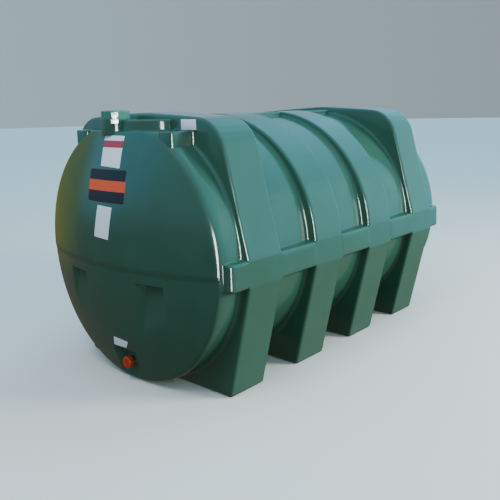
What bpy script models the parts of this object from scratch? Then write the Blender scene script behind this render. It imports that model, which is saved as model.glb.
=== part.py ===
"""A heating oil tank moulded in green polyethylene, lying on its own feet.

X runs from the outlet end, at -X, to the back. The near long side is at -Y. Z is up from the floor.
"""

import math

import bmesh
import bpy
from mathutils import Matrix

# Driving dimensions, in metres
GAP = 0.0003                # left between pieces that touch
WALL = 0.010                # thickness of the moulded wall
FACETS = 48                 # flats round the cylinder

AXIS_HEIGHT = 0.602         # the cylinder's centre line above the floor
SHELL_RADIUS = 0.592        # between the end ribs
END_RADIUS = 0.600          # outside the end ribs
BARREL_HALF = 0.788         # half of the length over the four ribs
KNUCKLE_X = 0.911           # where the straight wall turns into the dish
CROWN_X = 1.029             # the dish's middle, the end of the tank
KNUCKLE_FILLET = 0.044
LIP_STEP = 0.006            # the lower half of each end sits this much further in

BAND_LOW = 0.512
BAND_HIGH = 0.629
BAND_HALF_WIDTH = 0.639
BAND_HALF_LENGTH = 0.891
BAND_CORNER = 0.028
PART_LINE = 0.570           # the mould's joint, where each end steps in

RIB_COUNT = 4
RIB_WIDTH = 0.217
RIB_PITCH = (2 * BARREL_HALF - RIB_WIDTH) / (RIB_COUNT - 1)
SHOULDER_Y = 0.490          # a square rib's corner before it is rounded
SHOULDER_Z = 1.204
SHOULDER_ROUND = 0.170
SQUARE_CROWN_Z = 1.2325
ROUND_CROWN_Z = 1.217
CROWN_STRIP_HALF = 0.060
CROWN_STRIP_Z = 1.213

FOOT_OUTER_Y = 0.507
FOOT_INNER_Y = 0.150

POCKET_INNER_Y = 0.180
POCKET_OUTER_Y = 0.333
POCKET_TOP = 0.512
POCKET_BOTTOM = 0.200
POCKET_INNER_X = 0.982      # the pocket's back wall, at its two sides
POCKET_OUTER_X = 0.971

ALCOVE_HALF = 0.080
ALCOVE_TOP = 0.167
ALCOVE_BACK_X = 0.909
OUTLET_HEIGHT = 0.096

LUG_INNER_Y = 0.255
LUG_OUTER_Y = 0.345
LUG_TOP = 1.157
LUG_BOTTOM = 1.030
LUG_FRONT_X = 0.910

PLINTH_REACH = 0.115        # the raised half oval under the filling point, forward of the first rib
PLINTH_HALF = 0.215
PLINTH_TOP = 1.2045

FILLER_X = 0.885
FILLER_Y = 0.055
FILLER_RADIUS = 0.066
FILLER_BOTTOM = 1.140
FILLER_TOP = 1.2068
FILL_CAP_RADIUS = 0.0625
FILL_CAP_TOP = 1.246
LATCH_TURN = 50.0           # degrees from the front towards the near side

LABEL_THICK = 0.0010
PAST = 0.05                 # how far a cutter runs past what it cuts

GREEN = (0.020, 0.095, 0.060)
LABEL_WHITE = (0.80, 0.80, 0.78)
ORANGE = (0.80, 0.13, 0.02)
OUTLET_RED = (0.55, 0.06, 0.03)
SILVER = (0.60, 0.60, 0.62)


def clear_scene():
    """Removes every object, so that the tank is alone."""
    for item in list(bpy.data.objects):
        bpy.data.objects.remove(item, do_unlink=True)


def new_collection(name):
    """Returns a new collection that is linked to the scene."""
    collection = bpy.data.collections.new(name)
    bpy.context.scene.collection.children.link(collection)
    return collection


def new_material(name, colour, roughness, metallic=0.0):
    """Returns a Principled material of one colour."""
    material = bpy.data.materials.new(name)
    material.use_nodes = True
    shader = material.node_tree.nodes["Principled BSDF"]
    shader.inputs["Base Color"].default_value = (*colour, 1.0)
    shader.inputs["Roughness"].default_value = roughness
    shader.inputs["Metallic"].default_value = metallic
    material.diffuse_color = (*colour, 1.0)
    return material


def arc(centre, radii, start, end, steps):
    """Returns points of an ellipse's arc, both ends included, with its angles in degrees."""
    points = []
    for step in range(steps + 1):
        angle = math.radians(start + (end - start) * step / steps)
        points.append((centre[0] + radii[0] * math.cos(angle), centre[1] + radii[1] * math.sin(angle)))
    return points


def rounded_corner(before, corner, after, radius, steps):
    """Returns the arc that rounds the corner between two straight lines."""
    back = math.atan2(before[1] - corner[1], before[0] - corner[0])
    ahead = math.atan2(after[1] - corner[1], after[0] - corner[0])
    turn = (ahead - back + math.pi) % (2 * math.pi) - math.pi
    reach = radius / math.sin(abs(turn) / 2)
    middle = back + turn / 2
    centre = (corner[0] + reach * math.cos(middle), corner[1] + reach * math.sin(middle))
    side = math.copysign(90, turn)
    start = math.degrees(back) - side
    end = math.degrees(ahead) + side
    end = start + (end - start + 180) % 360 - 180
    return arc(centre, (radius, radius), start, end, steps)


def finish_mesh(name, mesh, collection, material):
    """Welds a mesh, turns its faces outwards and makes it an object."""
    shape = bmesh.new()
    shape.from_mesh(mesh)
    bmesh.ops.remove_doubles(shape, verts=shape.verts, dist=0.00001)
    bmesh.ops.recalc_face_normals(shape, faces=shape.faces)
    shape.to_mesh(mesh)
    shape.free()
    mesh.materials.clear()
    if material:
        mesh.materials.append(material)
    result = bpy.data.objects.new(name, mesh)
    collection.objects.link(result)
    return result


def evaluated(source, name, collection, material, matrix=Matrix.Identity(4)):
    """Replaces an object by its evaluated mesh, turned by a matrix first."""
    bpy.context.view_layer.update()
    graph = bpy.context.evaluated_depsgraph_get()
    mesh = bpy.data.meshes.new_from_object(source.evaluated_get(graph))
    bpy.data.objects.remove(source, do_unlink=True)
    mesh.transform(matrix)
    return finish_mesh(name, mesh, collection, material)


def extruded(name, outline, low, high, axis, collection, material=None):
    """Returns a flat outline extruded from low to high along X (a Y, Z outline) or Z (an X, Y outline)."""
    curve = bpy.data.curves.new(name, "CURVE")
    curve.dimensions = "2D"
    curve.fill_mode = "BOTH"
    curve.extrude = (high - low) / 2
    spline = curve.splines.new("POLY")
    spline.points.add(len(outline) - 1)
    for point, (first, second) in zip(spline.points, outline):
        point.co = (first, second, 0.0, 1.0)
    spline.use_cyclic_u = True
    source = bpy.data.objects.new(name + "_outline", curve)
    collection.objects.link(source)
    turn = Matrix.Identity(4)
    if axis == "X":
        turn = Matrix(((0, 0, 1, 0), (1, 0, 0, 0), (0, 1, 0, 0), (0, 0, 0, 1)))
    result = evaluated(source, name, collection, material, turn)
    middle = (high + low) / 2
    result.location = (middle, 0, 0) if axis == "X" else (0, 0, middle)
    return result


def turned(name, profile, collection, material=None):
    """Returns a profile of (x, radius) points turned about the tank's centre line."""
    mesh = bpy.data.meshes.new(name)
    edges = [(index, index + 1) for index in range(len(profile) - 1)]
    mesh.from_pydata([(x, 0.0, radius) for x, radius in profile], edges, [])
    source = bpy.data.objects.new(name + "_profile", mesh)
    collection.objects.link(source)
    screw = source.modifiers.new("turn", "SCREW")
    screw.axis = "X"
    screw.steps = screw.render_steps = FACETS
    screw.use_merge_vertices = True
    screw.merge_threshold = 0.00001
    result = evaluated(source, name, collection, material)
    result.location.z = AXIS_HEIGHT
    return result


def round_bar(name, centre, radius, length, axis, facets, collection, material=None):
    """Returns a cylinder along X or Z with its middle at the centre."""
    mesh = bpy.data.meshes.new(name)
    shape = bmesh.new()
    bmesh.ops.create_cone(shape, cap_ends=True, segments=facets, radius1=radius, radius2=radius, depth=length)
    if axis == "X":
        bmesh.ops.rotate(shape, verts=shape.verts, matrix=Matrix.Rotation(math.radians(90), 3, "Y"))
    shape.to_mesh(mesh)
    shape.free()
    result = finish_mesh(name, mesh, collection, material)
    result.location = centre
    return result


def box(name, low, high, collection, material=None):
    """Returns a box between two corners, with its origin in its middle."""
    size = [b - a for a, b in zip(low, high)]
    mesh = bpy.data.meshes.new(name)
    shape = bmesh.new()
    bmesh.ops.create_cube(shape, size=1.0)
    bmesh.ops.scale(shape, verts=shape.verts, vec=size)
    shape.to_mesh(mesh)
    shape.free()
    result = finish_mesh(name, mesh, collection, material)
    result.location = [(a + b) / 2 for a, b in zip(low, high)]
    return result


def combine(target, other, operation):
    """Adds a Boolean modifier, and hides the other object as a cutter."""
    modifier = target.modifiers.new(operation.lower() + "_" + other.name, "BOOLEAN")
    modifier.operation = operation
    modifier.solver = "EXACT"
    modifier.object = other
    other.hide_render = True
    other.display_type = "WIRE"


def end_profile(grow, step):
    """Returns one end's outer profile from the ribs to the crown, grown by an amount and set in by a step."""
    rise = CROWN_X - KNUCKLE_X
    dish_radius = (END_RADIUS ** 2 + rise ** 2) / (2 * rise)
    dish_centre = CROWN_X - step - dish_radius
    radius = END_RADIUS + grow
    fillet = KNUCKLE_FILLET + grow
    dish = dish_radius + grow
    corner_r = radius - fillet
    corner_x = dish_centre + math.sqrt((dish - fillet) ** 2 - corner_r ** 2)
    turn = math.degrees(math.atan2(corner_r, corner_x - dish_centre))
    points = arc((corner_x, corner_r), (fillet, fillet), 90, turn, 3)
    points += arc((dish_centre, 0), (dish, dish), turn, 0, 6)[1:]
    return points


def end_plug(name, grow, step, back, side, collection):
    """Returns one end as a full turned solid, from a plane near the ribs out to the dish."""
    profile = [(back, 0.0), (back, END_RADIUS + grow)] + end_profile(grow, step)
    profile[-1] = (profile[-1][0], 0.0)
    return turned(name, [(side * x, radius) for x, radius in profile], collection)


def build_barrel(parts, cutters, green):
    """Builds the round wall between the ends as two half pipes."""
    inner = SHELL_RADIUS - WALL
    for name, low, high in (("barrel_lower", -1, PART_LINE - GAP / 2), ("barrel_upper", PART_LINE + GAP / 2, 2)):
        ring = turned(name, [(-BARREL_HALF, inner), (-BARREL_HALF, SHELL_RADIUS), (BARREL_HALF, SHELL_RADIUS),
                             (BARREL_HALF, inner), (-BARREL_HALF, inner)], parts, green)
        keep = box(name + "_half", (-1, -1, low), (1, 1, high), cutters)
        combine(ring, keep, "INTERSECT")


def pocket_plan(side, mirror, grow):
    """Returns a hand pocket's plan, from its slanted back wall out past the dish."""
    inner = (side * (POCKET_INNER_X - grow), mirror * (POCKET_INNER_Y - grow))
    outer = (side * (POCKET_OUTER_X - grow), mirror * (POCKET_OUTER_Y + grow))
    far = side * (CROWN_X + PAST)
    return [inner, outer, (far, outer[1]), (far, inner[1])]


def build_end(name, side, parts, cutters, green):
    """Builds one dished end in its two halves, the outlet end with its alcove and its filler hole."""
    back = BARREL_HALF + GAP
    upper = end_plug(name + "_dish_upper", 0, 0, back, side, parts)
    lower = end_plug(name + "_dish_lower", 0, LIP_STEP, back, side, parts)
    upper.data.materials.append(green)
    lower.data.materials.append(green)
    hollow_upper = end_plug(name + "_hollow_upper", -WALL, 0, back - PAST, side, cutters)
    hollow_lower = end_plug(name + "_hollow_lower", -WALL, LIP_STEP, back - PAST, side, cutters)
    for mirror in (-1, 1):
        tag = f"{name}_pocket_{'near' if mirror < 0 else 'far'}"
        pocket = extruded(tag, pocket_plan(side, mirror, 0), POCKET_BOTTOM, POCKET_TOP, "Z", cutters)
        backing = extruded(tag + "_back", pocket_plan(side, mirror, WALL), POCKET_BOTTOM - WALL,
                           POCKET_TOP + WALL, "Z", cutters)
        combine(lower, pocket, "DIFFERENCE")
        combine(hollow_lower, backing, "DIFFERENCE")
    if side < 0:
        alcove = box("alcove", (-CROWN_X - PAST, -ALCOVE_HALF, -PAST),
                     (-ALCOVE_BACK_X, ALCOVE_HALF, ALCOVE_TOP), cutters)
        backing = box("alcove_back", (-CROWN_X - PAST, -ALCOVE_HALF - WALL, -PAST),
                      (-ALCOVE_BACK_X + WALL, ALCOVE_HALF + WALL, ALCOVE_TOP + WALL), cutters)
        combine(lower, alcove, "DIFFERENCE")
        combine(hollow_lower, backing, "DIFFERENCE")
    combine(upper, hollow_upper, "DIFFERENCE")
    combine(lower, hollow_lower, "DIFFERENCE")
    combine(upper, box(name + "_upper_half", (-2, -1, PART_LINE), (2, 1, 2), cutters), "INTERSECT")
    combine(lower, box(name + "_lower_half", (-2, -1, -1), (2, 1, PART_LINE - GAP), cutters), "INTERSECT")
    if side < 0:
        middle = FILLER_BOTTOM - GAP + 0.1
        hole = round_bar("filler_hole", (-FILLER_X, FILLER_Y, middle), FILLER_RADIUS + GAP, 0.2, "Z", 32, cutters)
        combine(upper, hole, "DIFFERENCE")


def rib_outline(square):
    """Returns a rib's outer outline, closed straight across at the top of the band."""
    foot = BAND_HIGH + GAP
    if not square:
        rise = ROUND_CROWN_Z - AXIS_HEIGHT
        start = math.degrees(math.asin((foot - AXIS_HEIGHT) / rise))
        return arc((0, AXIS_HEIGHT), (BAND_HALF_WIDTH, rise), start, 180 - start, 24)
    right = (BAND_HALF_WIDTH, foot)
    shoulder = (SHOULDER_Y, SHOULDER_Z)
    crown = (0.0, SQUARE_CROWN_Z)
    half = [right] + rounded_corner(right, shoulder, crown, SHOULDER_ROUND, 8)
    return half + [crown] + [(-y, z) for y, z in reversed(half)]


def rib_start(index):
    """Returns where a rib or foot starts along X."""
    return -BARREL_HALF + index * RIB_PITCH


def build_ribs(parts, core, green):
    """Builds the four ribs over the back and the strip along the crown between them."""
    for index in range(RIB_COUNT):
        start = rib_start(index)
        outline = rib_outline(square=index in (0, RIB_COUNT - 1))
        rib = extruded(f"rib_{index + 1}", outline, start, start + RIB_WIDTH, "X", parts, green)
        combine(rib, core, "DIFFERENCE")
    for index in range(RIB_COUNT - 1):
        low = (rib_start(index) + RIB_WIDTH + GAP, -CROWN_STRIP_HALF, AXIS_HEIGHT + SHELL_RADIUS - WALL)
        high = (rib_start(index + 1) - GAP, CROWN_STRIP_HALF, CROWN_STRIP_Z)
        strip = box(f"crown_strip_{index + 1}", low, high, parts, green)
        combine(strip, core, "DIFFERENCE")


def build_legs(parts, core, green):
    """Builds the four feet of each side, in line with the ribs."""
    top = BAND_LOW - GAP
    half = [(BAND_HALF_WIDTH, top), (FOOT_OUTER_Y, 0.0), (FOOT_INNER_Y, 0.0), (FOOT_INNER_Y, AXIS_HEIGHT / 3),
            (SHELL_RADIUS / 2, top)]
    for side_name, mirror in (("near", -1), ("far", 1)):
        outline = [(mirror * y, z) for y, z in half]
        for index in range(RIB_COUNT):
            start = rib_start(index)
            leg = extruded(f"leg_{side_name}_{index + 1}", outline, start, start + RIB_WIDTH, "X", parts, green)
            combine(leg, core, "DIFFERENCE")


def build_band(parts, core, ends, green):
    """Builds the square waist band along both sides."""
    length = BAND_HALF_LENGTH
    width = BAND_HALF_WIDTH
    inner = END_RADIUS * 0.95
    for side_name, mirror in (("near", -1), ("far", 1)):
        corner = rounded_corner((length, inner), (length, width), (0, width), BAND_CORNER, 4)
        half = [(length, inner)] + corner
        plan = half + [(-x, y) for x, y in reversed(half)]
        plan = [(x, mirror * y) for x, y in plan]
        band = extruded(f"band_{side_name}", plan, BAND_LOW, BAND_HIGH, "Z", parts, green)
        for cutter in (core, *ends):
            combine(band, cutter, "DIFFERENCE")


def on_cap(item):
    """Moves an object made in front of an axis at the origin to the filler, turned with its latch."""
    place = Matrix.Translation((-FILLER_X, FILLER_Y, 0.0)) @ Matrix.Rotation(math.radians(LATCH_TURN), 4, "Z")
    item.matrix_world = place @ Matrix.Translation(item.location)
    return item


def build_lugs(parts, front_end, green):
    """Builds the square boss on each side of the filling point."""
    for side_name, mirror in (("near", -1), ("far", 1)):
        y_low, y_high = sorted((mirror * LUG_INNER_Y, mirror * LUG_OUTER_Y))
        lug = box(f"lug_{side_name}", (-LUG_FRONT_X, y_low, LUG_BOTTOM),
                  (-BARREL_HALF - GAP, y_high, LUG_TOP), parts, green)
        combine(lug, front_end, "DIFFERENCE")


def build_plinth(parts, front_end, cutters, green):
    """Builds the raised half oval under the filling point, with the neck's hole through it."""
    middle = (-BARREL_HALF - GAP, 0.0)
    outline = arc(middle, (PLINTH_REACH, PLINTH_HALF), 90, 270, 24)
    plinth = extruded("filler_plinth", outline, AXIS_HEIGHT + END_RADIUS * 0.85, PLINTH_TOP, "Z", parts, green)
    combine(plinth, front_end, "DIFFERENCE")
    combine(plinth, cutters.objects["filler_hole"], "DIFFERENCE")


def build_filler(parts, cutters, green, silver):
    """Builds the filling point at the front of the crown, with its cap, hasp and padlock."""
    middle = (FILLER_BOTTOM + FILLER_TOP) / 2
    round_bar("filler_neck", (-FILLER_X, FILLER_Y, middle), FILLER_RADIUS, FILLER_TOP - FILLER_BOTTOM, "Z", 32,
              parts, green)
    cap_low = FILLER_TOP + GAP
    round_bar("fill_cap", (-FILLER_X, FILLER_Y, (cap_low + FILL_CAP_TOP) / 2), FILL_CAP_RADIUS,
              FILL_CAP_TOP - cap_low, "Z", 32, parts, green)
    face = -FILL_CAP_RADIUS - GAP
    plate = 0.0035
    stud_top = 1.2285
    hasp = on_cap(box("cap_hasp", (face - plate, -0.015, 1.208), (face, 0.015, 1.238), parts, silver))
    stud = on_cap(box("hasp_stud", (face - 0.0160, -0.003, stud_top - 0.0075), (face - plate / 2, 0.003, stud_top),
                      cutters))
    combine(hasp, stud, "UNION")
    wire = 0.003
    shackle_x = face - 0.0105
    arch_radius = 0.011
    arch_z = stud_top + 4 * GAP + wire - arch_radius
    body_top = 1.2095
    path = [(arch_radius, body_top + GAP)] + arc((0, arch_z), (arch_radius, arch_radius), 0, 180, 8)
    path += [(-arch_radius, body_top + GAP)]
    curve = bpy.data.curves.new("padlock_shackle", "CURVE")
    curve.dimensions = "3D"
    curve.bevel_depth = wire
    curve.bevel_resolution = 2
    curve.use_fill_caps = True
    spline = curve.splines.new("POLY")
    spline.points.add(len(path) - 1)
    for point, (y, z) in zip(spline.points, path):
        point.co = (shackle_x, y, z, 1.0)
    source = bpy.data.objects.new("shackle_path", curve)
    parts.objects.link(source)
    on_cap(evaluated(source, "padlock_shackle", parts, silver))
    on_cap(box("padlock_body", (shackle_x - 0.008, -0.017, body_top - 0.022), (shackle_x + 0.007, 0.017, body_top),
               parts, silver))


def build_outlet(parts, cutters, green, red):
    """Builds the outlet's boss and its cap in the alcove."""
    boss_low = -ALCOVE_BACK_X - 0.018
    boss_high = -ALCOVE_BACK_X - GAP
    round_bar("outlet_boss", ((boss_low + boss_high) / 2, 0, OUTLET_HEIGHT), 0.022, boss_high - boss_low, "X", 24,
              parts, green)
    cap_high = boss_low - GAP
    cap_low = cap_high - 0.024
    cap = round_bar("outlet_cap", ((cap_low + cap_high) / 2, 0, OUTLET_HEIGHT), 0.0275, cap_high - cap_low, "X", 24,
                    parts, red)
    grip = box("outlet_grip", (cap_low - 0.007, -0.005, OUTLET_HEIGHT - 0.021),
               (cap_low + 0.010, 0.005, OUTLET_HEIGHT + 0.021), cutters)
    combine(cap, grip, "UNION")


def build_labels(parts, cutters, white, orange):
    """Builds the sheets stuck on the outlet end, each a thin layer that follows the dish."""
    back = BARREL_HALF + PAST
    rows = (("top_label", white, (-0.071, 0.069), (1.003, 1.1375), 0),
            ("badge_plate", orange, (-0.135, 0.135), (0.850, 0.995), 0),
            ("lower_label", white, (-0.042, 0.062), (0.692, 0.835), 0),
            ("outlet_label", white, (-0.048, 0.056), (0.179, 0.218), LIP_STEP))
    for name, material, across, up, step in rows:
        sheet = box(name, (-CROWN_X - PAST, across[0], up[0]), (-back, across[1], up[1]), parts, material)
        for tag, lift, operation in (("_outside", GAP + LABEL_THICK, "INTERSECT"), ("_inside", GAP, "DIFFERENCE")):
            layer = end_plug(name + tag, 0, step - lift, BARREL_HALF, -1, cutters)
            combine(sheet, layer, operation)
    high = -BARREL_HALF - GAP
    box("rib_label", (high - LABEL_THICK, -0.364, 1.1585), (high, -0.270, 1.204), parts, white)


def main():
    """Builds the whole tank."""
    clear_scene()
    parts = new_collection("heating_oil_tank")
    cutters = new_collection("cutters")
    green = new_material("green_polyethylene", GREEN, 0.30)
    white = new_material("white_label", LABEL_WHITE, 0.45)
    orange = new_material("orange_sheet", ORANGE, 0.40)
    red = new_material("red_cap", OUTLET_RED, 0.35)
    silver = new_material("plated_steel", SILVER, 0.30, 1.0)

    core_radius = SHELL_RADIUS + GAP
    reach = BARREL_HALF + GAP / 2
    core = turned("barrel_space", [(-reach, 0), (-reach, core_radius), (reach, core_radius), (reach, 0)], cutters)
    ends = [end_plug(f"{name}_space", GAP, 0, BARREL_HALF - PAST, side, cutters)
            for name, side in (("front", -1), ("rear", 1))]

    build_barrel(parts, cutters, green)
    build_end("front", -1, parts, cutters, green)
    build_end("rear", 1, parts, cutters, green)
    build_band(parts, core, ends, green)
    build_ribs(parts, core, green)
    build_legs(parts, core, green)
    build_lugs(parts, ends[0], green)
    build_plinth(parts, ends[0], cutters, green)
    build_filler(parts, cutters, green, silver)
    build_outlet(parts, cutters, green, red)
    build_labels(parts, cutters, white, orange)


main()
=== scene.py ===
"""A moulded green heating oil tank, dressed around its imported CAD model.

The tank is one glossy polyethylene moulding. Its skin is built here as five continuous pieces that
follow the CAD solids, with the rounded edges of a moulding. Everything is in metres. X runs from the
outlet end at -X to the back, the photographed long side is at -Y, and Z is up from the floor.
"""

import logging
import math
from dataclasses import dataclass
from enum import Enum

import bpy
import numpy as np
from mathutils import Matrix, Vector

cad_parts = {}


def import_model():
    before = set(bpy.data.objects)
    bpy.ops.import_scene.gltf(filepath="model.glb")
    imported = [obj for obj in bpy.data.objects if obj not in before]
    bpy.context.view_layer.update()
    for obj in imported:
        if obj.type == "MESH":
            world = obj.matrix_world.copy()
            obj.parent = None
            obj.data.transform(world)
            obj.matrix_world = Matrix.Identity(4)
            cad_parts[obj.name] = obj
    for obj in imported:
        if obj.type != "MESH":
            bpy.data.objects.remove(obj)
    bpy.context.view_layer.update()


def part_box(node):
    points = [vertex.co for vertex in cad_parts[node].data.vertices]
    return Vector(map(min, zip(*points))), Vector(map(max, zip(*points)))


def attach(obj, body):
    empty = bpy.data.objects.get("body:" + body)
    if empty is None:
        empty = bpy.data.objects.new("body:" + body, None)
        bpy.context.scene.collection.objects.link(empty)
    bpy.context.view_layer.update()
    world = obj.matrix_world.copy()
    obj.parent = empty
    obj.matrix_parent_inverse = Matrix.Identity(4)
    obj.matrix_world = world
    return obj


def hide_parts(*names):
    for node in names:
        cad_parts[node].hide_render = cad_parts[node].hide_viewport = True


log = logging.getLogger("oil_tank")

BODY = "root"
GREEN_SLOT = "green_polyethylene"
STEEL_SLOT = "plated_steel"
WHITE_SLOT = "white_label"


class End(Enum):
    """The two ends of the tank, as the sign of their X."""

    FRONT = -1
    REAR = 1


@dataclass(frozen=True)
class MouldSizes:
    """Sizes of the moulding that the boxes of the CAD nodes don't give, as in the part's source."""

    shoulder_y: float = 0.490
    shoulder_z: float = 1.204
    shoulder_round: float = 0.170
    crown_soften: float = 0.060
    foot_outer: float = 0.507
    foot_inner_top: float = 0.130
    band_end_round: float = 0.028
    knuckle_round: float = 0.044
    knuckle_x: float = 0.911
    part_line: float = 0.570
    lip_step: float = 0.006
    lip_height: float = 0.036
    edge_round: float = 0.016
    foot_round: float = 0.018
    strip_round: float = 0.006
    ledge_foot: float = 0.008
    ledge_round: float = 0.012
    floor_round: float = 0.014
    blend_round: float = 0.060
    dish_patch: float = 0.540


@dataclass(frozen=True)
class TankFrame:
    """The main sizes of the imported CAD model, read from the boxes of its nodes."""

    axis_z: float
    shell_radius: float
    end_radius: float
    crown_x: float
    rib_x: tuple
    square_crown: float
    round_crown: float
    strip_half: float
    strip_top: float
    band_low: float
    band_high: float
    band_half: float
    band_reach: float
    foot_inner: float

    @classmethod
    def read(cls):
        """Reads the sizes from the frame.

        Returns:
            The tank's sizes.
        """
        dish_low, dish_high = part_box("front_dish_upper")
        barrel_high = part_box("barrel_upper")[1]
        ribs = [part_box(f"rib_{index}") for index in range(1, 5)]
        band_low, band_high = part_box("band_near")
        strip_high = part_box("crown_strip_1")[1]
        end_radius = dish_high.y
        axis_z = dish_high.z - end_radius
        return cls(
            axis_z=axis_z,
            shell_radius=barrel_high.z - axis_z,
            end_radius=end_radius,
            crown_x=-dish_low.x,
            rib_x=tuple((low.x, high.x) for low, high in ribs),
            square_crown=ribs[0][1].z,
            round_crown=ribs[1][1].z,
            strip_half=strip_high.y,
            strip_top=strip_high.z,
            band_low=band_low.z,
            band_high=band_high.z,
            band_half=-band_low.y,
            band_reach=band_high.x,
            foot_inner=-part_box("leg_near_1")[1].y,
        )


def smooth_step(low, high, value):
    """Rises smoothly from 0 at low to 1 at high.

    Args:
        low: Where the rise starts.
        high: Where it ends.
        value: Numbers to map.

    Returns:
        3t² - 2t³ of the share of the way, t, held between 0 and 1.
    """
    share = np.clip((np.asarray(value) - low) / (high - low), 0.0, 1.0)
    return share * share * (3.0 - 2.0 * share)


def soft_positive(value, softness):
    """Returns the positive part of a number with its corner rounded, as softness · ln(1 + exp(value / softness))."""
    return softness * np.logaddexp(0.0, np.asarray(value) / softness)


def rounded_path(corners, steps=6):
    """Joins corner points by straight lines and rounds those with a radius.

    The arc touches both lines at radius / tan(half the angle between them) from the corner. Its centre
    is on the line that halves the angle, at radius / sin(half the angle).

    Args:
        corners: Rows of (y, z, radius).
        steps: Number of chords in each arc.

    Returns:
        The points of the path, one row each.
    """
    rows = np.asarray(corners, float)
    points = []
    for index, (y, z, radius) in enumerate(rows):
        corner = np.array((y, z))
        if radius == 0.0:
            points.append(corner[None])
            continue
        back = rows[index - 1, :2] - corner
        ahead = rows[index + 1, :2] - corner
        back /= np.linalg.norm(back)
        ahead /= np.linalg.norm(ahead)
        half = 0.5 * math.acos(np.clip(back @ ahead, -1.0, 1.0))
        middle = (back + ahead) / np.linalg.norm(back + ahead)
        centre = corner + middle * radius / math.sin(half)
        sweep = np.linspace(-1.0, 1.0, steps + 1)[:, None] * (0.5 * math.pi - half)
        across = ahead - (ahead @ middle) * middle
        across /= np.linalg.norm(across)
        points.append(centre - radius * (np.cos(sweep) * middle - np.sin(sweep) * across))
    return np.vstack(points)


def circle_points(axis_z, radii, start, end, spacing=2.5):
    """Returns points of an ellipse about the tank's axis, from one angle to another in degrees."""
    count = max(2, int(abs(end - start) / spacing) + 1)
    angle = np.radians(np.linspace(start, end, count))
    return np.column_stack((radii[0] * np.cos(angle), axis_z + radii[1] * np.sin(angle)))


def plain(points):
    """Returns points as path corners without a radius."""
    return [(y, z, 0.0) for y, z in points]


class Outline:
    """Half of a cross section, from the crown to the belly, as a radius for each angle about the axis."""

    FINE = 0.004

    def __init__(self, points, axis_z):
        """Stores an outline that goes once round the axis.

        Args:
            points: Its (y, z) points, from the crown down to the belly.
            axis_z: Height of the axis.
        """
        self.feature_angles = self._angles(points, axis_z)
        steps = np.linalg.norm(np.diff(points, axis=0), axis=1)
        along = np.concatenate(([0.0], np.cumsum(steps)))
        fine = np.union1d(np.arange(0.0, along[-1], self.FINE), along)
        dense = np.column_stack([np.interp(fine, along, points[:, axis]) for axis in (0, 1)])
        self._table_angle = self._angles(dense, axis_z)
        self._table_radius = np.hypot(dense[:, 0], dense[:, 1] - axis_z)

    @staticmethod
    def _angles(points, axis_z):
        """Returns the angle of each point, 90 degrees at the crown and -90 at the belly, in radians."""
        return np.arctan2(points[:, 1] - axis_z, points[:, 0])

    def radius(self, angle):
        """Returns the outline's radius at each angle."""
        return np.interp(-angle, -self._table_angle, self._table_radius)


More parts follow.
